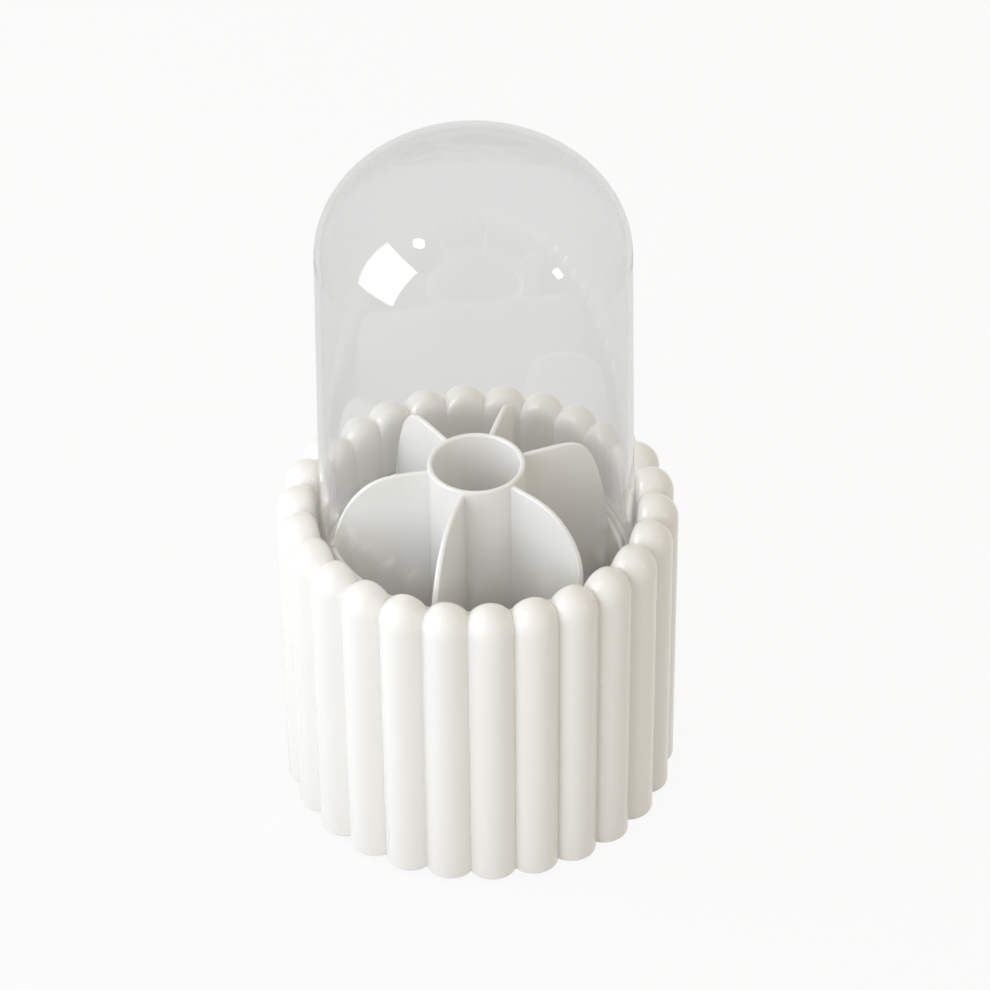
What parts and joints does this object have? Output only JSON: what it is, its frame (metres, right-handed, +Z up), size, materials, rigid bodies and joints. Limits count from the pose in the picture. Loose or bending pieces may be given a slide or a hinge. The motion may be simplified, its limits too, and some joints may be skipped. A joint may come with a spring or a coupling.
{
  "type": "rotating makeup organizer with dome cover",
  "caption": "Round turning organizer: ribbed tub on a ball-bearing base, lift-out divided tray with a centre cup, and a clear lift-off dome cover.",
  "frame": {"origin": "on the table, at the middle of the footprint, where the axis of rotation meets the table", "axes": "+Z up along the axis of rotation, -Y to the front, where the tray's tall front wall and its front divider are, +X to the right as seen from the front"},
  "size_m": [0.145, 0.144, 0.2705],
  "materials": {
    "tub_white": "glossy warm white",
    "tray_white": "glossy white",
    "clear_cover": "clear, polished",
    "base_white": "satin white",
    "pad_grey": "soft matt",
    "cage_nylon": "natural nylon",
    "bush_nylon": "natural nylon",
    "ball_steel": "polished steel",
    "screw_steel": "zinc plated"
  },
  "bodies": {
    "base": {"base_disc": "base_white", "foot_pads": "pad_grey", "pivot_screw": "screw_steel", "pivot_washer": "screw_steel", "pivot_nut": "screw_steel"},
    "ball_ring": {"ball_cage": "cage_nylon", "bearing_balls": "ball_steel"},
    "tub": {"turntable_plate": "base_white", "pivot_bush": "bush_nylon", "plate_screws": "screw_steel", "floor_plate": "base_white", "shell_screws": "screw_steel", "liner_screws": "screw_steel", "tub_shell": "tub_white", "tub_liner": "tub_white"},
    "tray": {"divider_tray": "tray_white"},
    "dome": {"dome_cover": "clear_cover"}
  },
  "joints": [
    {"name": "tub_spin", "type": "hinge", "parent": "base", "child": "tub", "pos_m": [0, 0, 0], "axis": [0, 0, 1], "continuous": true},
    {"name": "cage_spin", "type": "hinge", "parent": "base", "child": "ball_ring", "pos_m": [0, 0, 0], "axis": [0, 0, 1], "continuous": true},
    {"name": "tray_lift", "type": "slide", "parent": "tub", "child": "tray", "axis": [0, 0, 1], "range_m": [0, 0.11]},
    {"name": "dome_lift", "type": "slide", "parent": "tray", "child": "dome", "axis": [0, 0, 1], "range_m": [0, 0.06]}
  ],
  "couplings": [
    {"joint": "cage_spin", "follows": "tub_spin", "ratio": 0.5}
  ]
}
